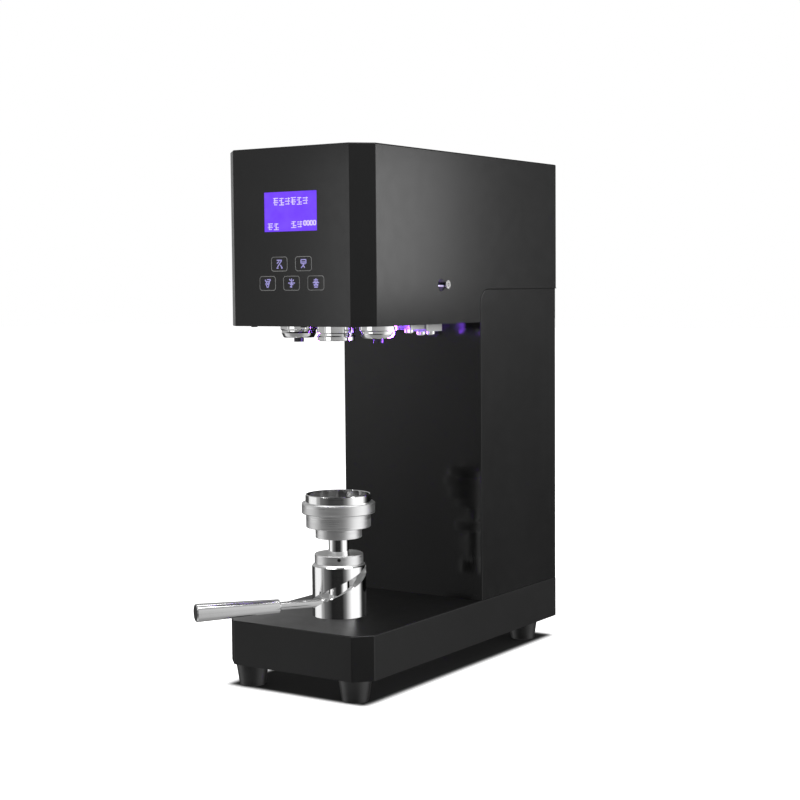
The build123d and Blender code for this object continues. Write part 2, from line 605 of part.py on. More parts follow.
def make_arm(side):
    """One roller arm as seen from above; side is 1 on the right and -1 on the left."""
    pivot = (side * PIVOT_X, PIVOT_Y)
    tip = (side * ROLLER_X, ROLLER_Y)
    pin = (side * DRIVE_PIN_X, PIVOT_Y)
    height = ARM_TOP - ARM_BOTTOM
    limb = make_hull([*(Pos(*pivot) * Circle(14)).edges(), *(Pos(*tip) * Circle(11)).edges()])
    tab = make_hull([*(Pos(*pivot) * Circle(12)).edges(), *(Pos(*pin) * Circle(9)).edges()])
    plan = limb + tab
    arm = Pos(0, 0, ARM_BOTTOM) * extrude(plan, height)
    arm -= rod(PIVOT_R + RUNNING, ARM_BOTTOM - 1, ARM_TOP + 1, *pivot)
    arm -= rod(5.0, ARM_BOTTOM - 1, ARM_TOP + 1, *tip)
    slot_x = DRIVE_PIN_R + 1.6
    slot_y = DRIVE_PIN_R + 0.3
    slot = rounded_plate(pin[0] - slot_x, pin[0] + slot_x, pin[1] - slot_y, pin[1] + slot_y,
                         ARM_BOTTOM - 1, ARM_TOP + 1, DRIVE_PIN_R + 0.25)
    return arm - slot


def make_roller(side):
    x = side * ROLLER_X
    y = ROLLER_Y
    bore = 5.0 + RUNNING
    low = ROLLER_BOTTOM
    groove = 402.6 if side > 0 else 403.4
    depth = 2.4 if side > 0 else 1.5
    shoulder = 409.4
    outline = [(bore, low), (ROLLER_R - 4.4, low), (ROLLER_R - 3.6, low + 0.6),
               (ROLLER_R - 1.2, groove - 2.4), (ROLLER_R - depth, groove - 1.2), (ROLLER_R - depth, groove + 0.6),
               (ROLLER_R - 0.4, groove + 1.8), (ROLLER_R, groove + 2.4), (ROLLER_R, shoulder),
               (ROLLER_R - 1, shoulder + 1), (12, shoulder + 2), (12, ROLLER_TOP), (bore, ROLLER_TOP)]
    return turned(outline, x, y)


def make_roller_bolt(side):
    x = side * ROLLER_X
    pin = rod(5.0, ROLLER_BOTTOM - 0.5, ARM_TOP, x, ROLLER_Y) + rod(8.0, ARM_TOP, ARM_TOP + 4, x, ROLLER_Y)
    head = rod(5.7, ROLLER_BOTTOM - 5.0, ROLLER_BOTTOM - 0.5, x, ROLLER_Y)
    spacer = ring(8.0, 5.0, ROLLER_TOP + GAP, ARM_BOTTOM, x, ROLLER_Y)
    socket = rod(2.6, ROLLER_BOTTOM - 6, ROLLER_BOTTOM - 2, x, ROLLER_Y)
    return pin + head + spacer - socket


def make_arms():
    for name, side in (("first", 1), ("second", -1)):
        keep(f"{name}_arm", make_arm(side))
        keep(f"{name}_roller", make_roller(side))
        keep(f"{name}_roller_bolt", make_roller_bolt(side))

    posts = []
    bolts = []
    stops = []
    bumpers = []
    for side in (1, -1):
        x = side * PIVOT_X
        post = rod(11, ARM_TOP + 1, DECK_BOTTOM, x, PIVOT_Y)
        post += rod(PIVOT_R, ARM_BOTTOM - 2, ARM_TOP + 2, x, PIVOT_Y)
        foot = rounded_plate(x - 13, x + 13, 124.5, 156.5, 404.5, ARM_BOTTOM - 1, 3)
        posts.append(post + foot)
        stop = rounded_plate(x - 12, x + 12, 159.5, STOP_REAR, 401.5, 414.5, 2)
        stops.append(stop + rod(8, 413, DECK_BOTTOM, x, 184))
        bumpers.append(rounded_plate(x - 7, x + 7, STOP_REAR, STOP_REAR + 7, 403.5, 411.0, 1.5))
        for y, top in ((PIVOT_Y, 404.5), (166, 401.5), (187, 401.5)):
            head = turned([(0, top - 4.6), (4.6, top - 4.6), (5.4, top - 3.6), (5.4, top), (0, top)], x, y)
            bolts.append(head - rod(2.6, top - 5, top - 2, x, y))
    keep("arm_pivot_posts", group(posts))
    keep("arm_stop_blocks", group(stops))
    keep("pivot_bolts", group(bolts))
    keep("stop_bumpers", group(bumpers))

    bar_ends = [Pos(x, PIVOT_Y) * Circle(9) for x in (-DRIVE_PIN_X, DRIVE_PIN_X)]
    bar = make_hull([*bar_ends[0].edges(), *bar_ends[1].edges()])
    rocker = Pos(0, 0, ARM_TOP + 2) * extrude(bar, 6) + rod(12, ARM_TOP + 2, 438, 0, PIVOT_Y)
    rocker += rod(4.0, 437, DECK_TOP + 18, 0, PIVOT_Y)
    for side in (1, -1):
        rocker += rod(DRIVE_PIN_R, ARM_BOTTOM + 1, ARM_TOP + 3, side * DRIVE_PIN_X, PIVOT_Y)
    keep("arm_rocker", rocker)


# ---------------------------------------------------------------- everything
make_base()
make_lifter()
make_tray()
make_column()
make_head()
make_drive()
make_arms()
keep("cover_screws", group(COVER_SCREWS))

os.makedirs("parts", exist_ok=True)
for node, piece in PIECES.items():
    export_step(piece, f"parts/{node}.step")
print(len(PIECES), "nodes written")
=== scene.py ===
import json
from math import atan2, cos, pi, radians, sin, tau

import bmesh
import bpy
from mathutils import Matrix, Vector


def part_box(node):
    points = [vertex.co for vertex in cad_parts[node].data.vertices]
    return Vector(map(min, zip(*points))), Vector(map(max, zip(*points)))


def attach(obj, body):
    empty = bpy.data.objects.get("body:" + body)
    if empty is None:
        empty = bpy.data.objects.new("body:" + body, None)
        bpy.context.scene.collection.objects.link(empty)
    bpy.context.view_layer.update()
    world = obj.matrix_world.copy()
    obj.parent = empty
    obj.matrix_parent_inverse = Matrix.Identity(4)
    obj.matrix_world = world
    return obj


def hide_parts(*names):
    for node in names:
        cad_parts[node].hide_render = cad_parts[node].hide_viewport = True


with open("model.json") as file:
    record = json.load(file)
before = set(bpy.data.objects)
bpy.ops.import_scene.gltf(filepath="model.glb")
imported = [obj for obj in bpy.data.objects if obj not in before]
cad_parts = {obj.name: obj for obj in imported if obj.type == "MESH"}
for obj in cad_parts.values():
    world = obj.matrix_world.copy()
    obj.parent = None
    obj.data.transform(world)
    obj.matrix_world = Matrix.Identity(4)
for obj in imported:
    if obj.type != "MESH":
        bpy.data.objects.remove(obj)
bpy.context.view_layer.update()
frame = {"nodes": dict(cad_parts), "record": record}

scene = bpy.context.scene
scene.view_settings.view_transform = "Standard"
NODES = frame["nodes"]


# ------------------------------------------------------------------ camera
CAMERA_PLACE = Vector((1.0818, -1.5967, 0.4527))
CAMERA_YAW = 0.58670
CAMERA_PITCH = 0.06967
CAMERA_ROLL = -0.00817
CAMERA_LENS = 72.56


def add_camera():
    yaw, pitch, roll = CAMERA_YAW, CAMERA_PITCH, CAMERA_ROLL
    look = Vector((-sin(yaw) * cos(pitch), cos(yaw) * cos(pitch), -sin(pitch)))
    level = Vector((cos(yaw), sin(yaw), 0))
    up = level.cross(look)
    right = level * cos(roll) + up * sin(roll)
    top = up * cos(roll) - level * sin(roll)
    data = bpy.data.cameras.new("camera")
    data.lens = CAMERA_LENS
    data.sensor_width = 36
    camera = bpy.data.objects.new("camera", data)
    turn = Matrix((right, top, -look)).transposed().to_4x4()
    camera.matrix_world = Matrix.Translation(CAMERA_PLACE) @ turn
    scene.collection.objects.link(camera)
    scene.camera = camera


add_camera()


# ------------------------------------------------------------------ materials
class Shader:
    """A material's node tree with short ways to add and join nodes."""

    def __init__(self, name):
        self.material = bpy.data.materials.new(name)
        self.material.use_nodes = True
        self.nodes = self.material.node_tree.nodes
        self.links = self.material.node_tree.links
        self.shader = self.nodes["Principled BSDF"]
        self.point = self.nodes.new("ShaderNodeTexCoord").outputs["Object"]

    def add(self, kind, inputs=None, **settings):
        node = self.nodes.new(kind)
        for key, value in settings.items():
            setattr(node, key, value)
        for key, value in (inputs or {}).items():
            socket = node.inputs[key]
            if isinstance(value, bpy.types.NodeSocket):
                self.links.new(value, socket)
            else:
                socket.default_value = value
        return node

    def set(self, **values):
        for key, value in values.items():
            self.shader.inputs[key.replace("_", " ")].default_value = value
        return self

    def join(self, output, name):
        self.links.new(output, self.shader.inputs[name])
        return self

    def noise(self, scale, detail=3.0, rough=0.5, stretch=None):
        point = self.point
        if stretch:
            point = self.add("ShaderNodeMapping", {"Vector": point, "Scale": stretch}).outputs[0]
        inputs = {"Vector": point, "Scale": scale, "Detail": detail, "Roughness": rough}
        return self.add("ShaderNodeTexNoise", inputs).outputs["Fac"]

    def ramp(self, value, stops):
        node = self.add("ShaderNodeValToRGB", {"Fac": value})
        elements = node.color_ramp.elements
        while len(elements) < len(stops):
            elements.new(0.5)
        for element, (place, shade) in zip(elements, stops):
            element.position = place
            element.color = shade if len(shade) == 4 else (*shade, 1)
        return node.outputs["Color"]

    def bump(self, height, strength, distance, before=None):
        inputs = {"Height": height, "Strength": strength, "Distance": distance}
        if before is not None:
            inputs["Normal"] = before
        return self.add("ShaderNodeBump", inputs).outputs["Normal"]


def grey(value, tint=0.0):
    return (value, value, value * (1 + tint))


def powder_paint(name, low, high, rough, orange_peel=0.06):
    """Satin powder coat: fine grain in the bump, cloudy colour and gloss."""
    s = Shader(name)
    s.set(Specular_IOR_Level=0.4)
    cloud = s.noise(9.0, 4.0)
    s.join(s.ramp(cloud, [(0.3, grey(low)), (0.7, grey(high))]), "Base Color")
    s.join(s.ramp(s.noise(60.0), [(0.35, grey(rough - 0.015)), (0.65, grey(rough + 0.015))]), "Roughness")
    grain = s.noise(1400.0, 2.0)
    peel = s.noise(260.0, 1.0)
    s.join(s.bump(grain, orange_peel, 0.0002, s.bump(peel, orange_peel * 0.6, 0.0004)), "Normal")
    return s.material


def polished(name, shade, rough, line_scale=900.0, line_depth=0.05, axis="Z"):
    """Turned and polished steel: faint lathe lines round the axis, and slightly uneven gloss."""
    s = Shader(name)
    s.set(Metallic=1.0)
    stretch = {"Z": (0.02, 0.02, 1.0), "X": (1.0, 0.02, 0.02)}[axis]
    lines = s.noise(line_scale, 2.0, 0.6, stretch)
    smear = s.noise(35.0, 3.0)
    s.join(s.ramp(smear, [(0.3, grey(shade * 0.96)), (0.7, grey(shade))]), "Base Color")
    s.join(s.ramp(lines, [(0.3, grey(rough * 0.7)), (0.7, grey(rough * 1.4))]), "Roughness")
    s.join(s.bump(lines, line_depth, 0.0002), "Normal")
    return s.material


def machined(name, shade, rough):
    s = Shader(name)
    s.set(Metallic=1.0)
    grain = s.noise(300.0, 3.0, 0.6, (1.0, 0.05, 1.0))
    s.join(s.ramp(grain, [(0.3, grey(shade * 0.9)), (0.7, grey(shade))]), "Base Color")
    s.join(s.ramp(grain, [(0.2, grey(rough - 0.06)), (0.8, grey(rough + 0.08))]), "Roughness")
    s.join(s.bump(grain, 0.1, 0.0002), "Normal")
    return s.material


def moulded(name, low, high, rough, scale=900.0, depth=0.2, tint=0.0):
    """Rubber or plastic with the fine texture of its mould."""
    s = Shader(name)
    s.join(s.ramp(s.noise(40.0), [(0.3, grey(low, tint)), (0.7, grey(high, tint))]), "Base Color")
    s.join(s.ramp(s.noise(120.0), [(0.3, grey(rough - 0.05)), (0.7, grey(rough + 0.05))]), "Roughness")
    s.join(s.bump(s.noise(scale, 2.0), depth, 0.0003), "Normal")
    return s.material


def glowing(name, low, high, power, scale=30.0):
    """A lit surface whose colour drifts a little over its face."""
    s = Shader(name)
    shade = s.ramp(s.noise(scale, 2.0), [(0.3, low), (0.7, high)])
    s.join(s.ramp(s.noise(scale * 3), [(0.3, grey(0.01)), (0.7, grey(0.03))]), "Base Color")
    s.join(shade, "Emission Color")
    s.set(Emission_Strength=power, Roughness=0.4, Specular_IOR_Level=0.25)
    return s.material


def board_green(name):
    s = Shader(name)
    tracks = s.add("ShaderNodeTexBrick", {"Vector": s.point, "Scale": 180.0, "Mortar Size": 0.02})
    s.join(s.ramp(tracks.outputs["Fac"], [(0.0, (0.01, 0.09, 0.04)), (1.0, (0.03, 0.2, 0.08))]), "Base Color")
    s.set(Roughness=0.35)
    return s.material


PAINT = powder_paint("black_powder_coat", 0.004, 0.006, 0.24)
BASE_PAINT = powder_paint("base_powder_coat", 0.004, 0.006, 0.34)
FRONT_PAINT = powder_paint("front_panel_coat", 0.004, 0.006, 0.24, 0.08)
GLOSS = powder_paint("gloss_lacquer", 0.004, 0.006, 0.10, 0.01)
CHROME = polished("polished_steel", 0.94, 0.07)
SATIN = polished("satin_steel", 0.84, 0.36, line_depth=0.12)
BORE_STEEL = polished("bored_steel", 0.80, 0.45, line_depth=0.1)
GRIP_CHROME = polished("polished_grip", 0.94, 0.10, axis="X")
STEEL = machined("machined_steel", 0.55, 0.32)
ALU = machined("cast_aluminium", 0.62, 0.4)
BLACK_OXIDE = moulded("black_oxide", 0.008, 0.014, 0.35)
RUBBER = moulded("foot_rubber", 0.010, 0.018, 0.40)
PLASTIC = moulded("black_plastic", 0.012, 0.018, 0.42)
BELT = moulded("belt_rubber", 0.01, 0.016, 0.7)
BOARD = board_green("solder_mask")
LED = glowing("violet_light", (0.16, 0.01, 1.0), (0.30, 0.05, 1.0), 5.0)
SCREEN = glowing("display_backlight", (0.145, 0.030, 0.98), (0.17, 0.040, 1.0), 1.0)
MARK = glowing("display_mark", (0.62, 0.48, 1.0), (0.80, 0.70, 1.0), 1.0, 400.0)
ICON = glowing("key_light", (0.34, 0.30, 0.82), (0.55, 0.50, 0.90), 0.75, 500.0)
OUTLINE = moulded("key_outline", 0.10, 0.16, 0.5)
# painted shadow: a near-black material for the strip that stands in for the shade in the side seams
PAINTED_GAP_SHADOW = moulded("seam_shadow_paint", 0.0006, 0.0012, 0.9)

FINISH = {
    "black_paint": PAINT,
    "gloss_panel": GLOSS,
    "rubber": RUBBER,
    "dark_plastic": PLASTIC,
    "touch_glass": GLOSS,
    "polished_steel": CHROME,
    "steel": STEEL,
    "black_steel": BLACK_OXIDE,
    "bright_screw": CHROME,
    "aluminium": ALU,
    "belt_rubber": BELT,
    "board": BOARD,
    "led": LED,
}
OWN_FINISH = {
    "head_front_panel": FRONT_PAINT,
    "base_shell": BASE_PAINT,
    "lever_grip": GRIP_CHROME,
    "lcd_window": SCREEN,
    "bearing_housing": SATIN,
    "tray_hub": SATIN,
    "barrel_cap": SATIN,
}


def finish_of(row):
    return OWN_FINISH.get(row["node"], FINISH[row["material_slot"]])


def dress(node, material):
    data = NODES[node].data
    data.materials.clear()
    data.materials.append(material)


for row in frame["record"]["subparts"]:
    dress(row["node"], finish_of(row))


# ------------------------------------------------------------------ turned and rounded pieces
BODIES = frame["record"]["behaviour"]["bodies"]
BODY_OF = {node: body for body, nodes in BODIES.items() for node in nodes}


def add_piece(name, mesh, body):
    piece = bpy.data.objects.new(name, mesh)
    scene.collection.objects.link(piece)
    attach(piece, body)
    return piece


CREASE = radians(28.0)      # faces that meet at more than this keep a sharp edge
MERGE = 2e-6                # corners closer than this are one corner


def smooth_twin(node):
    """A copy of a node with shared corners and smooth shading, so that curved metal has no facets."""
    mesh = NODES[node].data.copy()
    mesh.name = node + "_smooth"
    old_normals = mesh.attributes.get("custom_normal")
    if old_normals:
        mesh.attributes.remove(old_normals)
    work = bmesh.new()
    work.from_mesh(mesh)
    bmesh.ops.remove_doubles(work, verts=work.verts, dist=MERGE)
    for face in work.faces:
        face.smooth = True
    work.to_mesh(mesh)
    work.free()
    mesh.set_sharp_from_angle(angle=CREASE)
    piece = add_piece(node + "_smooth", mesh, BODY_OF[node])
    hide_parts(node)
    return piece


ROUND_NODES = [
    "lift_barrel", "barrel_cap", "lift_shaft", "lever_rod", "lever_grip", "bearing_housing",
    "tray_hub", "can_tray", "seaming_chuck", "first_roller", "second_roller", "side_socket_screw",
    "pivot_bolts", "arm_pivot_posts", "first_roller_bolt", "second_roller_bolt", "rubber_feet",
    "stop_bumpers",
]
ROUND = {node: smooth_twin(node) for node in ROUND_NODES}


def second_finish(node, material, chosen):
    """Gives the node's second material to the faces whose distances from its axis pass a test."""
    mesh = ROUND[node].data
    mesh.materials.append(material)
    low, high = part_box(node)
    axis_x, axis_y = (low[0] + high[0]) / 2, (low[1] + high[1]) / 2

    def away(point):
        return ((point.x - axis_x) ** 2 + (point.y - axis_y) ** 2) ** 0.5

    for face in mesh.polygons:
        if chosen(away(face.center), min(away(mesh.vertices[v].co) for v in face.vertices)):
            face.material_index = 1


def two_finishes():
    """The tray's wide ring is satin round a polished rim; the barrel's slot and bore are not polished."""
    rim_radius = 0.0382
    second_finish("can_tray", SATIN, lambda middle, nearest: middle > rim_radius)
    low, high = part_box("lift_barrel")
    skin = 0.002
    bore_limit = (high[0] - low[0]) / 2 - skin
    second_finish("lift_barrel", BORE_STEEL, lambda middle, nearest: nearest < bore_limit)


two_finishes()


def add_painted_seam_shadows():
    """A thin near-black strip, a painted shadow that stands in for the shade in the seam between the column's
    sides and the head's sides.
    """
    low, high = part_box("column_shell")
    head_low, head_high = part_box("head_shell")
    radius = 0.018
    shadow_width = 0.0009
    proud = 0.00015
    mesh = bpy.data.meshes.new("painted_seam_shadows")
    work = bmesh.new()
    steps = 14
    # each row: Y, Z and the direction in which the shadow strip widens
    line = [(low[1], head_low[2], -1.0, 0.0)]
    for i in range(steps + 1):
        turn = pi - pi / 2 * i / steps
        out_y, out_z = cos(turn), sin(turn)
        line.append((low[1] + radius * (1 + out_y), high[2] - radius * (1 - out_z), out_y, out_z))
    line.append((head_high[1], high[2], 0.0, 1.0))
    for side in (-1, 1):
        x = side * high[0]
        rows = []
        for y, z, out_y, out_z in line:
            top = x + side * proud
            corners = ((x, 0), (top, 0), (top, shadow_width), (x, shadow_width))
            rows.append([work.verts.new((across, y + out_y * reach, z + out_z * reach))
                         for across, reach in corners])
        for near, far in zip(rows, rows[1:]):
            for i in range(4):
                work.faces.new((near[i], near[(i + 1) % 4], far[(i + 1) % 4], far[i]))
        work.faces.new(rows[0])
        work.faces.new(rows[-1][::-1])
    bmesh.ops.recalc_face_normals(work, faces=work.faces)
    work.to_mesh(mesh)
    work.free()
    mesh.materials.append(PAINTED_GAP_SHADOW)
    add_piece("painted_seam_shadows", mesh, "root")


add_painted_seam_shadows()


# ------------------------------------------------------------------ marks on the front panel
FRONT_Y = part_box("head_front_panel")[0][1]


def outline_loop(width, height, radius, steps=8):
    """Points round a rounded rectangle about the origin, anticlockwise."""
    points = []
    corners = ((1, 1, 0), (-1, 1, 90), (-1, -1, 180), (1, -1, 270))
    for side_x, side_z, start in corners:
        for i in range(steps + 1):
            turn = radians(start + 90 * i / steps)
            points.append((side_x * (width / 2 - radius) + radius * cos(turn),
                           side_z * (height / 2 - radius) + radius * sin(turn)))
    return points


class Print:
    """Thin raised marks on a plane that faces the front."""

    def __init__(self, y, thick=0.00012):
        self.y = y
        self.thick = thick
        self.work = bmesh.new()

    def prism(self, points):
        front = [self.work.verts.new((x, self.y - self.thick, z)) for x, z in points]
        back = [self.work.verts.new((x, self.y, z)) for x, z in points]
        self.work.faces.new(front)
        self.work.faces.new(back[::-1])
        count = len(points)
        for i in range(count):
            self.work.faces.new((front[i], back[i], back[(i + 1) % count], front[(i + 1) % count]))

    def stroke(self, start, end, width):
        along = Vector((end[0] - start[0], end[1] - start[1]))
        side = Vector((-along.y, along.x)).normalized() * width / 2
        a, b = Vector(start), Vector(end)
        self.prism([a + side, a - side, b - side, b + side])

    def frame(self, x, z, width, height, radius, line):
        outer = outline_loop(width, height, radius)
        inner = outline_loop(width - 2 * line, height - 2 * line, radius - line)
        count = len(outer)
        for i in range(count):
            k = (i + 1) % count
            quad = [outer[i], outer[k], inner[k], inner[i]]
            self.prism([(x + px, z + pz) for px, pz in quad])

    def piece(self, name, material, body, slot):
        bmesh.ops.recalc_face_normals(self.work, faces=self.work.faces)
        mesh = bpy.data.meshes.new(name)
        self.work.to_mesh(mesh)
        self.work.free()
        mesh.materials.append(material)
        return add_piece(name, mesh, body)


def key_places():
    """Middle of each touch key, read from the keys' own solids."""
    mesh = NODES["touch_keys"].data
    work = bmesh.new()
    work.from_mesh(mesh)
    bmesh.ops.remove_doubles(work, verts=work.verts, dist=MERGE)
    places = []
    waiting = set(work.verts)
    while waiting:
        reached = [waiting.pop()]
        xs, zs = [], []
        while reached:
            vert = reached.pop()
            xs.append(vert.co.x)
            zs.append(vert.co.z)
            for edge in vert.link_edges:
                other = edge.other_vert(vert)
                if other in waiting:
                    waiting.remove(other)
                    reached.append(other)
        places.append(((min(xs) + max(xs)) / 2, (min(zs) + max(zs)) / 2))
    work.free()
    return sorted(places, key=lambda place: (-round(place[1], 3), place[0]))


# strokes of five plain symbols, in millimetres from the key's middle
SYMBOLS = [
    [((-3.6, 4.2), (3.4, 4.2)), ((3.2, 4.0), (-2.8, -3.4)), ((-3.4, 0.6), (-0.4, 3.0)),
     ((-4.0, -4.4), (-1.2, -4.4)), ((1.4, -1.0), (4.0, -4.4)), ((2.4, -4.4), (4.4, -4.4))],
    [((-3.6, 4.4), (3.8, 4.4)), ((-3.4, 4.0), (-3.4, 0.2)), ((3.4, 4.0), (3.4, 0.2)),
     ((-2.6, 1.8), (2.6, 1.8)), ((-2.6, 0.0), (2.8, 0.0)), ((0.6, -0.6), (-3.2, -4.6)),
     ((-0.2, -1.8), (1.6, -4.4))],
    [((-3.8, 4.2), (0.0, -1.6)), ((3.9, 4.2), (0.0, -1.6)), ((-1.0, 4.2), (3.9, 4.2)),
     ((-3.0, 0.2), (-0.6, -4.8)), ((2.2, 0.6), (0.2, -4.8)), ((-1.6, 2.0), (1.4, 2.0))],
    [((0.0, 5.0), (0.0, -5.0)), ((-4.6, 0.2), (4.6, 0.2)), ((-3.0, 4.6), (-1.2, 2.4)),
     ((3.0, 3.8), (1.4, 2.2)), ((-2.4, -1.4), (2.4, -1.4)), ((-0.8, -3.0), (-2.2, -4.4))],
    [((0.0, 5.0), (0.0, -5.0)), ((-4.2, 0.4), (4.2, 0.4)), ((-2.8, 3.4), (2.8, 3.4)),
     ((-3.2, -1.6), (3.2, -1.6)), ((-2.6, 2.2), (2.6, -3.4)), ((2.6, 2.2), (-2.6, -3.4)),
     ((-2.4, -4.6), (2.4, -4.6))],
]
MM = 0.001


RIM_SIZE = (22.6 * MM, 16.2 * MM)
RIM_CORNER = 3.4 * MM
RIM_LINE = 0.8 * MM
ICON_LINE = 1.15 * MM


def add_keys():
    low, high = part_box("touch_keys")
    places = key_places()
    rims = Print(FRONT_Y)
    icons = Print(low[1])
    for (x, z), strokes in zip(places, SYMBOLS):
        rims.frame(x, z, *RIM_SIZE, RIM_CORNER, RIM_LINE)
        for stroke in strokes:
            start, end = [(x + across * MM, z + up * MM) for across, up in stroke]
            icons.stroke(start, end, ICON_LINE)
    rims.piece("key_rims", OUTLINE, "root", "touch_glass")
    icons.piece("key_icons", ICON, "root", "touch_glass")


# rows of a plain block mark: left end, right end and height of each stroke, as shares of its size
BLOCKS = [
    [(0.0, 1.0, 0.95), (0.1, 0.9, 0.62), (0.0, 1.0, 0.35), (0.2, 0.8, 0.05)],
    [(0.1, 0.9, 0.9), (0.0, 0.6, 0.6), (0.3, 1.0, 0.3), (0.0, 1.0, 0.0)],
    [(0.0, 0.45, 0.85), (0.55, 1.0, 0.85), (0.0, 1.0, 0.5), (0.1, 0.9, 0.1)],
]
# lit bars of a seven-bar digit zero: start and end as shares of its width and height
ZERO = [((0, 0), (0, 1)), ((1, 0), (1, 1)), ((0, 0), (1, 0)), ((0, 1), (1, 1))]


def block_mark(marks, x, z, width, height, kind):
    line = height * 0.13
    for left, right, level in BLOCKS[kind % len(BLOCKS)]:
        zz = z + level * height
        marks.stroke((x + left * width, zz), (x + right * width, zz), line)
    upright = x + (0.3 + 0.2 * (kind % 3)) * width
    marks.stroke((upright, z), (upright, z + height), line)


# block marks of the display: left and bottom as shares of the display, height as a share, and kind
MARK_ROWS = [(0.175 + 0.113 * i, 0.67, 0.18, i) for i in range(6)]
MARK_ROWS += [(0.065, 0.05, 0.16, 0), (0.515, 0.09, 0.16, 1), (0.180, 0.05, 0.16, 1), (0.630, 0.09, 0.16, 2)]
MARK_WIDTH = 0.096
DIGITS = 4
DIGIT_START = (0.755, 0.145)
DIGIT_STEP = 0.060
DIGIT_SIZE = (0.042, 0.10)
DIGIT_LINE = 1.5 * MM


def add_display_marks():
    """Plain block marks and a row of zeros, in the places that a display of this kind uses."""
    low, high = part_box("lcd_window")
    width, height = high[0] - low[0], high[2] - low[2]
    marks = Print(low[1])
    for left, bottom, tall, kind in MARK_ROWS:
        x, z = low[0] + left * width, low[2] + bottom * height
        block_mark(marks, x, z, MARK_WIDTH * width, tall * height, kind)
    for i in range(DIGITS):
        x = low[0] + (DIGIT_START[0] + DIGIT_STEP * i) * width
        z = low[2] + DIGIT_START[1] * height
        for bar in ZERO:
            start, end = [(x + across * DIGIT_SIZE[0] * width, z + up * DIGIT_SIZE[1] * height)
                          for across, up in bar]
            marks.stroke(start, end, DIGIT_LINE)
    marks.piece("display_marks", MARK, "root", "led")


add_keys()
add_display_marks()


# ------------------------------------------------------------------ studio
def add_floor():
    """A pale floor, evenly white beside the base, with a painted contact shadow under the base: there its
    colour is darkened and its glow is cut off.
    """
    mesh = bpy.data.meshes.new("floor")
    half = 14.0
    corners = [(-half, -half, 0), (half, -half, 0), (half, half, 0), (-half, half, 0)]
    mesh.from_pydata(corners, [], [(0, 1, 2, 3)])
    floor = bpy.data.objects.new("floor", mesh)
    scene.collection.objects.link(floor)
    floor.visible_glossy = False
    s = Shader("pale_floor")
    low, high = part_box("base_shell")
    inset = 0.012
    half_size = ((high[0] - low[0]) / 2 - inset, (high[1] - low[1]) / 2 - inset, 1)
    middle = ((high[0] + low[0]) / 2, (high[1] + low[1]) / 2, 0)
    offset = s.add("ShaderNodeVectorMath", {0: s.point, 1: middle}, operation="SUBTRACT").outputs[0]
    apart = s.add("ShaderNodeVectorMath", {0: offset}, operation="ABSOLUTE").outputs[0]
    outside = s.add("ShaderNodeVectorMath", {0: apart, 1: half_size}, operation="SUBTRACT").outputs[0]
    outside = s.add("ShaderNodeVectorMath", {0: outside, 1: (0, 0, 0)}, operation="MAXIMUM").outputs[0]
    away = s.add("ShaderNodeVectorMath", {0: outside}, operation="LENGTH").outputs["Value"]
    # the glow that makes the floor white starts only just outside the base, so that the painted shadow stays
    # dark
    glow = s.add("ShaderNodeMapRange", {"Value": away, "From Min": 0.004, "From Max": 0.02, "To Max": 1.0})
    s.join(glow.outputs["Result"], "Emission Strength")
    pale = s.ramp(s.noise(2.0), [(0.3, grey(0.84)), (0.7, grey(0.86))])
    # painted shadow: the floor's colour falls to a twentieth under the base
    under = s.add("ShaderNodeMapRange", {"Value": away, "From Min": 0.0, "From Max": 0.012, "To Min": 0.05})
    painted_shadow_colour = s.add("ShaderNodeVectorMath", {0: pale, "Scale": under.outputs["Result"]}, operation="SCALE")
    s.join(painted_shadow_colour.outputs[0], "Base Color")
    s.set(Roughness=0.9, Specular_IOR_Level=0.1, Emission_Color=(1, 1, 1, 1))
    mesh.materials.append(s.material)


def add_light(name, place, target, size, power, height=None, colour=(1, 1, 1)):
    data = bpy.data.lights.new(name, "AREA")
    data.energy = power
    data.color = colour
    data.shape = "RECTANGLE"
    data.size = size
    data.size_y = height or size
    light = bpy.data.objects.new(name, data)
    light.location = place
    light.rotation_euler = (Vector(target) - Vector(place)).to_track_quat("-Z", "Y").to_euler()
    light.visible_camera = False
    scene.collection.objects.link(light)
    return light


# Brightness of the studio walls by compass bearing, in degrees from +X towards +Y.
# The first table is for the walls below eye level, the second for those above.
LOW_WALLS = [(-180, 0.7), (-165, 1.0), (-140, 0.95), (-134, 0.5), (-129, 0.32), (-124, 0.34), (-119, 0.16),
             (-100, 0.08), (-84, 0.015), (-40, 0.02), (-26, 0.18), (-13, 0.6), (0, 1.1), (39, 1.1),
             (48, 0.55), (54, 0.22), (60, 0.04), (70, 0.02), (136, 0.05), (165, 0.05)]
HIGH_WALLS = [(-180, 0.4), (-134, 0.4), (-129, 0.65), (-125, 0.85), (-119, 0.15), (-108, 0.3), (-95, 0.3),
              (-60, 0.4), (-20, 0.45), (10, 1.2), (44, 1.6), (52, 0.7), (60, 0.2), (80, 0.1), (119, 0.08),
              (125, 0.10), (129, 0.5), (134, 1.3), (140, 0.35), (180, 0.4)]
DIFFUSE_SHARE = 0.25      # the walls light rough surfaces less than mirrors show them


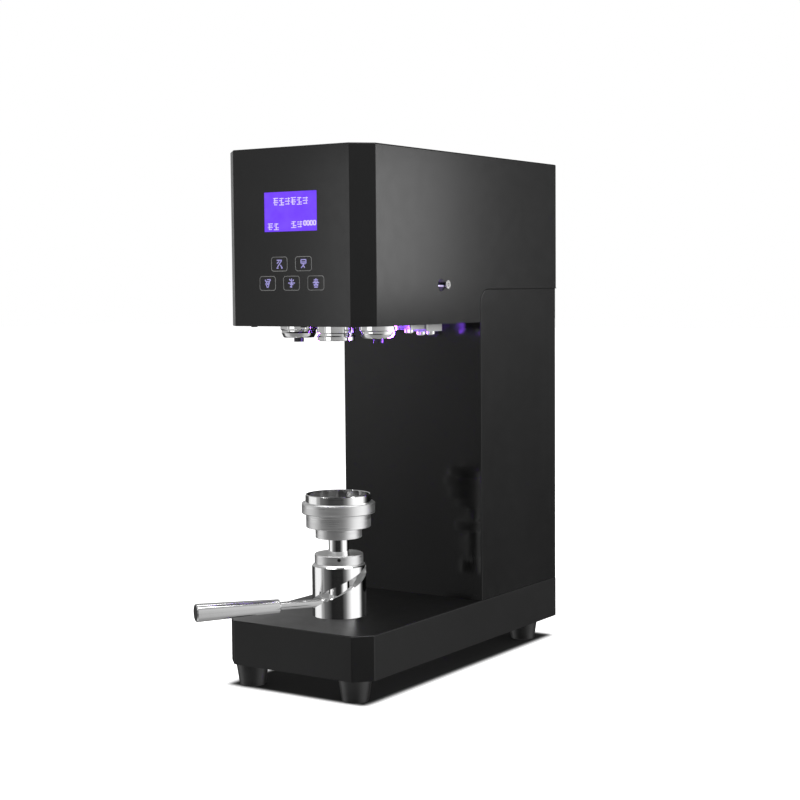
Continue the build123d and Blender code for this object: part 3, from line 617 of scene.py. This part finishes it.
def add_world():
    """A white studio whose walls change in brightness round the compass and with height."""
    world = bpy.data.worlds.new("studio")
    scene.world = world
    world.use_nodes = True
    nodes, links = world.node_tree.nodes, world.node_tree.links

    def math(operation, *values):
        node = nodes.new("ShaderNodeMath")
        node.operation = operation
        for socket, value in zip(node.inputs, values):
            if isinstance(value, bpy.types.NodeSocket):
                links.new(value, socket)
            else:
                socket.default_value = value
        return node.outputs[0]

    def compass(turn, table):
        ramp = nodes.new("ShaderNodeValToRGB")
        links.new(turn, ramp.inputs["Fac"])
        elements = ramp.color_ramp.elements
        while len(elements) < len(table):
            elements.new(0.5)
        for element, (bearing, shade) in zip(elements, table):
            element.position = bearing / 360 + 0.5
            element.color = (shade, shade, shade, 1)
        return ramp.outputs["Color"]

    def blend(factor, low, high):
        node = nodes.new("ShaderNodeMix")
        node.data_type = "RGBA"
        for index, value in ((0, factor), (6, low), (7, high)):
            if isinstance(value, bpy.types.NodeSocket):
                links.new(value, node.inputs[index])
            else:
                node.inputs[index].default_value = value
        return node.outputs[2]

    def between(value, low, high):
        node = nodes.new("ShaderNodeMapRange")
        links.new(value, node.inputs["Value"])
        node.inputs["From Min"].default_value = low
        node.inputs["From Max"].default_value = high
        return node.outputs["Result"]

    split = nodes.new("ShaderNodeSeparateXYZ")
    links.new(nodes.new("ShaderNodeTexCoord").outputs["Generated"], split.inputs[0])
    turn = math("MULTIPLY_ADD", math("ARCTAN2", split.outputs["Y"], split.outputs["X"]), 1 / tau, 0.5)
    height = split.outputs["Z"]
    walls = blend(between(height, -0.14, -0.02), compass(turn, LOW_WALLS), compass(turn, HIGH_WALLS))
    ceiling = blend(between(height, 0.55, 0.80), walls, (0.35, 0.35, 0.35, 1))
    ground = blend(between(height, -0.95, -0.35), (0.30, 0.30, 0.30, 1), ceiling)
    path = nodes.new("ShaderNodeLightPath")
    spread = (DIFFUSE_SHARE, DIFFUSE_SHARE, DIFFUSE_SHARE, 1)
    dimmer = blend(path.outputs["Is Diffuse Ray"], (1, 1, 1, 1), spread)
    shade = nodes.new("ShaderNodeVectorMath")
    shade.operation = "MULTIPLY"
    links.new(ground, shade.inputs[0])
    links.new(dimmer, shade.inputs[1])
    seen = path.outputs["Is Camera Ray"]
    links.new(blend(seen, shade.outputs[0], (1, 1, 1, 1)), nodes["Background"].inputs["Color"])
    nodes["Background"].inputs["Strength"].default_value = 1.0


def add_violet_light():
    """The strip under the head lights the seaming parts, and a little of it leaks to the side hole."""
    low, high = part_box("led_strip")
    seaming = bpy.data.collections.new("seaming_parts")
    scene.collection.children.link(seaming)
    lit_bodies = ("spindle", "first_arm", "second_arm", "first_roller", "second_roller", "rocker")
    lit_nodes = ("arm_pivot_posts", "arm_stop_blocks", "pivot_bolts", "stop_bumpers",
                 "underside_cover")
    for node, body in BODY_OF.items():
        if body in lit_bodies or node in lit_nodes:
            seaming.objects.link(ROUND.get(node, NODES[node]))
    violet = (0.25, 0.06, 1.0)
    middle_y = (low[1] + high[1]) / 2
    for x in (low[0] + 0.02, high[0] - 0.02):
        place = (x, middle_y - 0.02, high[2])
        target = (0, middle_y - 0.04, low[2] - 0.01)
        lamp = add_light("strip_glow", place, target, 0.02, 0.7, 0.14, violet)
        lamp.light_linking.receiver_collection = seaming
    strip = NODES["led_strip"]
    strip.light_linking.receiver_collection = seaming
    strip.visible_glossy = False
    beside_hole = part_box("side_socket_screw")[0][1] - 0.01
    add_light("side_leak", (0.06, beside_hole, 0.475), (0.1, beside_hole, 0.452), 0.02, 0.02, 0.02,
              (0.80, 0.72, 1.0))


def calm_mirrors():
    """Keeps the base and the barrel out of mirror images, so the barrel's bands reach its foot."""
    for node in ("base_shell", "base_plate", "barrel_mount_plate", "barrel_bolts", "foot_screws"):
        NODES[node].visible_glossy = False
    ROUND["lift_barrel"].visible_glossy = False


add_floor()
add_world()
add_light("overhead", (0.0, -0.2, 2.6), (0, 0, 0), 2.4, 75.0)
add_light("right_softbox", (0.55, 0.42, 0.56), (0.1, 0.42, 0.56), 0.52, 1.05, 0.26)
add_light("front_softbox", (-0.12, -0.6, 0.5), (-0.12, 0, 0.5), 0.28, 0.3, 0.28)
add_violet_light()
calm_mirrors()
